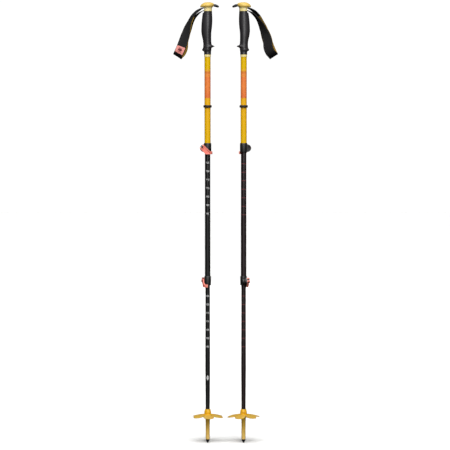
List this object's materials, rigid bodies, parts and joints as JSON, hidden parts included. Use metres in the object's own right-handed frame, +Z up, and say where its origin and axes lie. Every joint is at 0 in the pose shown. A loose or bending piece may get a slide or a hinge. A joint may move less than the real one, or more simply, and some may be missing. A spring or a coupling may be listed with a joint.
{
  "type": "trekking pole pair",
  "caption": "Pair of three-section telescoping trekking poles with lever locks, wrist straps, moulded grips, snow baskets and pointed tips.",
  "frame": {"origin": "on the floor, midway between the two tips", "axes": "+Z up along the poles, +X from the left pole to the right one, -Y towards the viewer that sees the left pole's front"},
  "size_m": [0.3076, 0.0956, 1.298],
  "materials": {
    "pale_plastic": "moulded, satin",
    "black_plastic": "moulded nylon, satin",
    "grip_rubber": "soft-touch, fine grain",
    "black_rubber": "moulded",
    "steel": "zinc plated",
    "strap_webbing": "woven webbing",
    "strap_lining": "brushed fleece lining",
    "strap_patch": "soft moulded label, blank",
    "yellow_tube": "yellow enamel over aluminium, satin",
    "black_tube": "black anodised",
    "white_nylon": "moulded",
    "coral_plastic": "moulded, satin",
    "gold_plastic": "moulded, satin",
    "basket_plastic": "moulded, slightly translucent",
    "carbide": "ground"
  },
  "bodies": {
    "left_upper": {"left_grip_core": "pale_plastic", "left_grip_cap": "pale_plastic", "left_grip_beak": "black_plastic", "left_grip_rubber": "grip_rubber", "left_grip_band": "pale_plastic", "left_strap_pin": "steel", "left_upper_tube": "yellow_tube", "left_choke_ring": "black_rubber", "left_upper_collar": "black_plastic", "left_upper_barrel_nut": "steel", "left_upper_saddle": "white_nylon"},
    "left_upper_screw": {"left_upper_screw": "steel"},
    "left_upper_lever": {"left_upper_lever": "coral_plastic"},
    "left_strap": {"left_strap": "strap_webbing", "left_strap_lining": "strap_lining", "left_strap_patch": "strap_patch"},
    "left_middle": {"left_middle_tube": "black_tube", "left_middle_plug": "white_nylon", "left_lower_collar": "black_plastic", "left_lower_barrel_nut": "steel", "left_lower_saddle": "white_nylon"},
    "left_lower_screw": {"left_lower_screw": "steel"},
    "left_lower_lever": {"left_lower_lever": "coral_plastic"},
    "left_lower": {"left_lower_tube": "black_tube", "left_lower_plug": "white_nylon", "left_tip_body": "gold_plastic", "left_tip_point": "carbide"},
    "left_basket": {"left_basket": "basket_plastic"},
    "right_upper": {"right_grip_core": "pale_plastic", "right_grip_cap": "pale_plastic", "right_grip_beak": "black_plastic", "right_grip_rubber": "grip_rubber", "right_grip_band": "pale_plastic", "right_strap_pin": "steel", "right_upper_tube": "yellow_tube", "right_choke_ring": "black_rubber", "right_upper_collar": "black_plastic", "right_upper_barrel_nut": "steel", "right_upper_saddle": "white_nylon"},
    "right_upper_screw": {"right_upper_screw": "steel"},
    "right_upper_lever": {"right_upper_lever": "coral_plastic"},
    "right_strap": {"right_strap": "strap_webbing", "right_strap_lining": "strap_lining", "right_strap_patch": "strap_patch"},
    "right_middle": {"right_middle_tube": "black_tube", "right_middle_plug": "white_nylon", "right_lower_collar": "black_plastic", "right_lower_barrel_nut": "steel", "right_lower_saddle": "white_nylon"},
    "right_lower_screw": {"right_lower_screw": "steel"},
    "right_lower_lever": {"right_lower_lever": "coral_plastic"},
    "right_lower": {"right_lower_tube": "black_tube", "right_lower_plug": "white_nylon", "right_tip_body": "gold_plastic", "right_tip_point": "carbide"},
    "right_basket": {"right_basket": "basket_plastic"}
  },
  "joints": [
    {"name": "left_middle_slide", "type": "slide", "parent": "left_upper", "child": "left_middle", "axis": [0, 0, 1], "range_m": [-0.025, 0.31]},
    {"name": "left_lower_slide", "type": "slide", "parent": "left_middle", "child": "left_lower", "axis": [0, 0, 1], "range_m": [-0.025, 0.355]},
    {"name": "left_upper_lever_turn", "type": "hinge", "parent": "left_upper", "child": "left_upper_lever", "pos_m": [-0.0685, -0.01202, 0.8742], "axis": [-0.7071, 0, -0.7071], "range_deg": [0, 110]},
    {"name": "left_lower_lever_turn", "type": "hinge", "parent": "left_middle", "child": "left_lower_lever", "pos_m": [-0.06735, 0.01219, 0.4822], "axis": [-0.1228, 0.6964, -0.7071], "range_deg": [0, 110]},
    {"name": "left_upper_screw_turn", "type": "hinge", "parent": "left_upper", "child": "left_upper_screw", "pos_m": [-0.0685, 0, 0.8742], "axis": [0, 1, 0], "range_deg": [-180, 180]},
    {"name": "left_lower_screw_turn", "type": "hinge", "parent": "left_middle", "child": "left_lower_screw", "pos_m": [-0.05552, 0.01428, 0.4822], "axis": [0.9848, 0.1736, 0], "range_deg": [-180, 180]},
    {"name": "left_strap_swing", "type": "hinge", "parent": "left_upper", "child": "left_strap", "pos_m": [-0.0575, 0, 1.278], "axis": [0, 1, 0], "range_deg": [-10, 5]},
    {"name": "left_basket_off", "type": "slide", "parent": "left_lower", "child": "left_basket", "axis": [0, 0, -1], "range_m": [0, 0.1005]},
    {"name": "right_middle_slide", "type": "slide", "parent": "right_upper", "child": "right_middle", "axis": [0, 0, 1], "range_m": [-0.025, 0.31]},
    {"name": "right_lower_slide", "type": "slide", "parent": "right_middle", "child": "right_lower", "axis": [0, 0, 1], "range_m": [-0.025, 0.355]},
    {"name": "right_upper_lever_turn", "type": "hinge", "parent": "right_upper", "child": "right_upper_lever", "pos_m": [0.0685, 0.01202, 0.8742], "axis": [0.7071, 0, -0.7071], "range_deg": [0, 110]},
    {"name": "right_lower_lever_turn", "type": "hinge", "parent": "right_middle", "child": "right_lower_lever", "pos_m": [0.06735, -0.01219, 0.4822], "axis": [0.1228, -0.6964, -0.7071], "range_deg": [0, 110]},
    {"name": "right_upper_screw_turn", "type": "hinge", "parent": "right_upper", "child": "right_upper_screw", "pos_m": [0.0685, 0, 0.8742], "axis": [0, -1, 0], "range_deg": [-180, 180]},
    {"name": "right_lower_screw_turn", "type": "hinge", "parent": "right_middle", "child": "right_lower_screw", "pos_m": [0.05552, -0.01428, 0.4822], "axis": [-0.9848, -0.1736, 0], "range_deg": [-180, 180]},
    {"name": "right_strap_swing", "type": "hinge", "parent": "right_upper", "child": "right_strap", "pos_m": [0.0575, 0, 1.278], "axis": [0, -1, 0], "range_deg": [-10, 5]},
    {"name": "right_basket_off", "type": "slide", "parent": "right_lower", "child": "right_basket", "axis": [0, 0, -1], "range_m": [0, 0.1005]},
    {"name": "right_pole_apart", "type": "slide", "parent": "left_upper", "child": "right_upper", "axis": [1, 0, 0], "range_m": [0, 0.5]}
  ]
}
